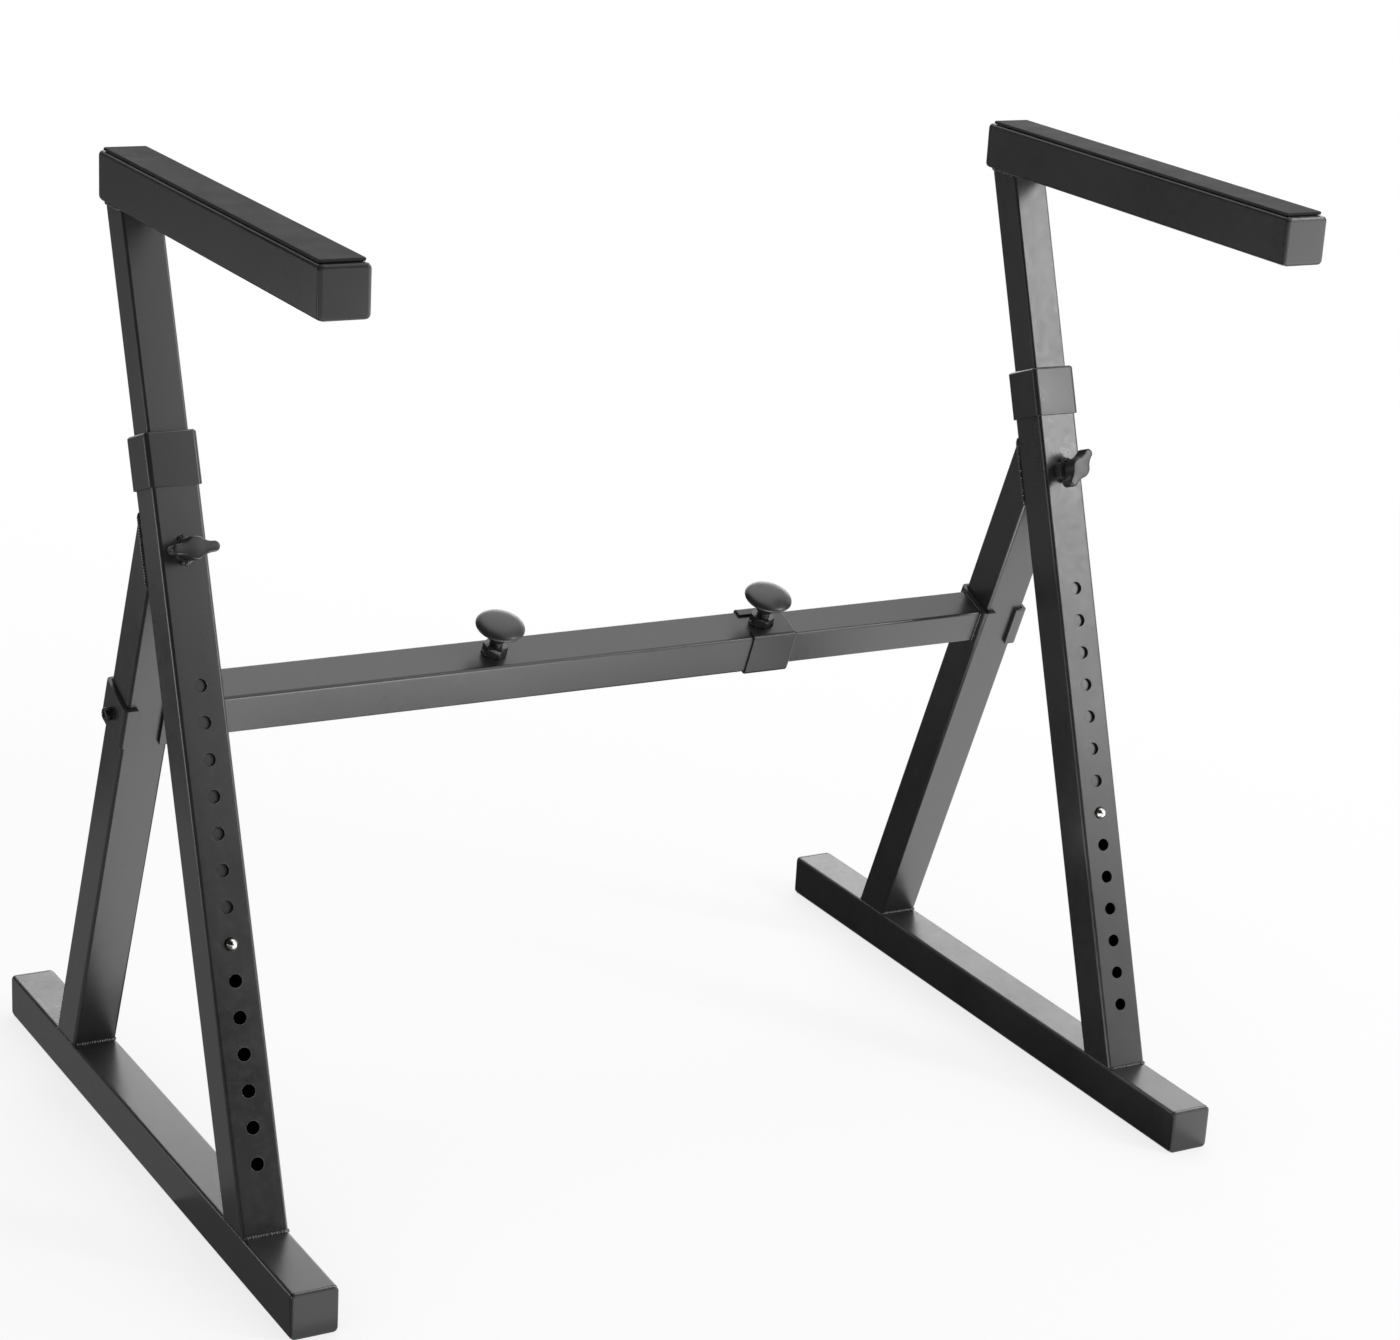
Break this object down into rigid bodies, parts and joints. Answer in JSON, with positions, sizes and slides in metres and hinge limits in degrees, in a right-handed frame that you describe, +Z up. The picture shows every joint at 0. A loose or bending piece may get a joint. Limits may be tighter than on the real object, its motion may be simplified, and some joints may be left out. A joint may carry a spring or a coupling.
{
  "type": "keyboard stand",
  "caption": "Z-frame keyboard stand of square steel tube, with telescoping posts and crossbar, clamping knobs, snap buttons and padded arms.",
  "frame": {"origin": "centre of the stand's footprint on the floor", "axes": "+X across the stand to the right frame, +Y from front to back, +Z up"},
  "size_m": [0.7992, 0.6022, 0.7491],
  "materials": {
    "black_steel": "satin black powder coat",
    "black_plastic": "fine moulded grain",
    "black_rubber": "matt",
    "zinc": "bright zinc plate",
    "nickel": "nickel plate",
    "black_oxide": "black oxide"
  },
  "bodies": {
    "left_frame": {"left_foot_tube": "black_steel", "left_foot_cap_front": "black_plastic", "left_foot_cap_rear": "black_plastic", "left_front_leg": "black_steel", "left_rear_brace": "black_steel", "left_leg_collar": "black_plastic", "left_leg_nut": "black_steel", "left_clamp_plate": "black_steel", "left_clamp_bolt": "black_oxide", "left_clamp_nut": "zinc", "left_saddle": "black_steel", "crossbar_outer_tube": "black_steel", "crossbar_collar": "black_plastic", "crossbar_left_nut": "black_steel", "crossbar_right_nut": "black_steel"},
    "right_frame": {"right_foot_tube": "black_steel", "right_foot_cap_front": "black_plastic", "right_foot_cap_rear": "black_plastic", "right_front_leg": "black_steel", "right_rear_brace": "black_steel", "right_leg_collar": "black_plastic", "right_leg_nut": "black_steel", "right_clamp_plate": "black_steel", "right_clamp_bolt": "black_oxide", "right_clamp_nut": "zinc", "right_saddle": "black_steel", "crossbar_inner_tube": "black_steel"},
    "left_post_and_arm": {"left_post": "black_steel", "left_arm": "black_steel", "left_arm_cap_front": "black_plastic", "left_arm_cap_rear": "black_plastic", "left_arm_pad": "black_rubber", "left_button_spring": "zinc"},
    "left_button": {"left_snap_button": "nickel"},
    "left_wing_clamp": {"left_wing_screw": "black_oxide", "left_wing_knob": "black_plastic"},
    "right_post_and_arm": {"right_post": "black_steel", "right_arm": "black_steel", "right_arm_cap_front": "black_plastic", "right_arm_cap_rear": "black_plastic", "right_arm_pad": "black_rubber", "right_button_spring": "zinc"},
    "right_button": {"right_snap_button": "nickel"},
    "right_wing_clamp": {"right_wing_screw": "black_oxide", "right_wing_knob": "black_plastic"},
    "crossbar_left_clamp": {"crossbar_left_screw": "black_oxide", "crossbar_left_knob": "black_plastic"},
    "crossbar_right_clamp": {"crossbar_right_screw": "black_oxide", "crossbar_right_knob": "black_plastic"}
  },
  "joints": [
    {"name": "width_slide", "type": "slide", "parent": "left_frame", "child": "right_frame", "axis": [1, 0, 0], "range_m": [-0.17, 0.06]},
    {"name": "left_height_slide", "type": "slide", "parent": "left_frame", "child": "left_post_and_arm", "axis": [0, 0.342, 0.9397], "range_m": [-0.13, 0.182]},
    {"name": "left_button_press", "type": "slide", "parent": "left_post_and_arm", "child": "left_button", "axis": [0, 0.9397, -0.342], "range_m": [0, 0.0065], "stiffness_N_per_m": 1500, "springref_m": -0.003, "deforming": ["left_button_spring"]},
    {"name": "left_wing_turn", "type": "hinge", "parent": "left_frame", "child": "left_wing_clamp", "pos_m": [-0.372, -0.03352, 0.48934], "axis": [0, -0.9397, 0.342], "continuous": true},
    {"name": "right_height_slide", "type": "slide", "parent": "right_frame", "child": "right_post_and_arm", "axis": [0, 0.342, 0.9397], "range_m": [-0.13, 0.182]},
    {"name": "right_button_press", "type": "slide", "parent": "right_post_and_arm", "child": "right_button", "axis": [0, 0.9397, -0.342], "range_m": [0, 0.0065], "stiffness_N_per_m": 1500, "springref_m": -0.003, "deforming": ["right_button_spring"]},
    {"name": "right_wing_turn", "type": "hinge", "parent": "right_frame", "child": "right_wing_clamp", "pos_m": [0.372, -0.03352, 0.48934], "axis": [0, -0.9397, 0.342], "continuous": true},
    {"name": "crossbar_left_knob_turn", "type": "hinge", "parent": "left_frame", "child": "crossbar_left_clamp", "pos_m": [-0.0896, 0.04687, 0.35934], "axis": [0, -0.3584, 0.9336], "continuous": true},
    {"name": "crossbar_right_knob_turn", "type": "hinge", "parent": "left_frame", "child": "crossbar_right_clamp", "pos_m": [0.1468, 0.04687, 0.35934], "axis": [0, -0.3584, 0.9336], "continuous": true}
  ]
}
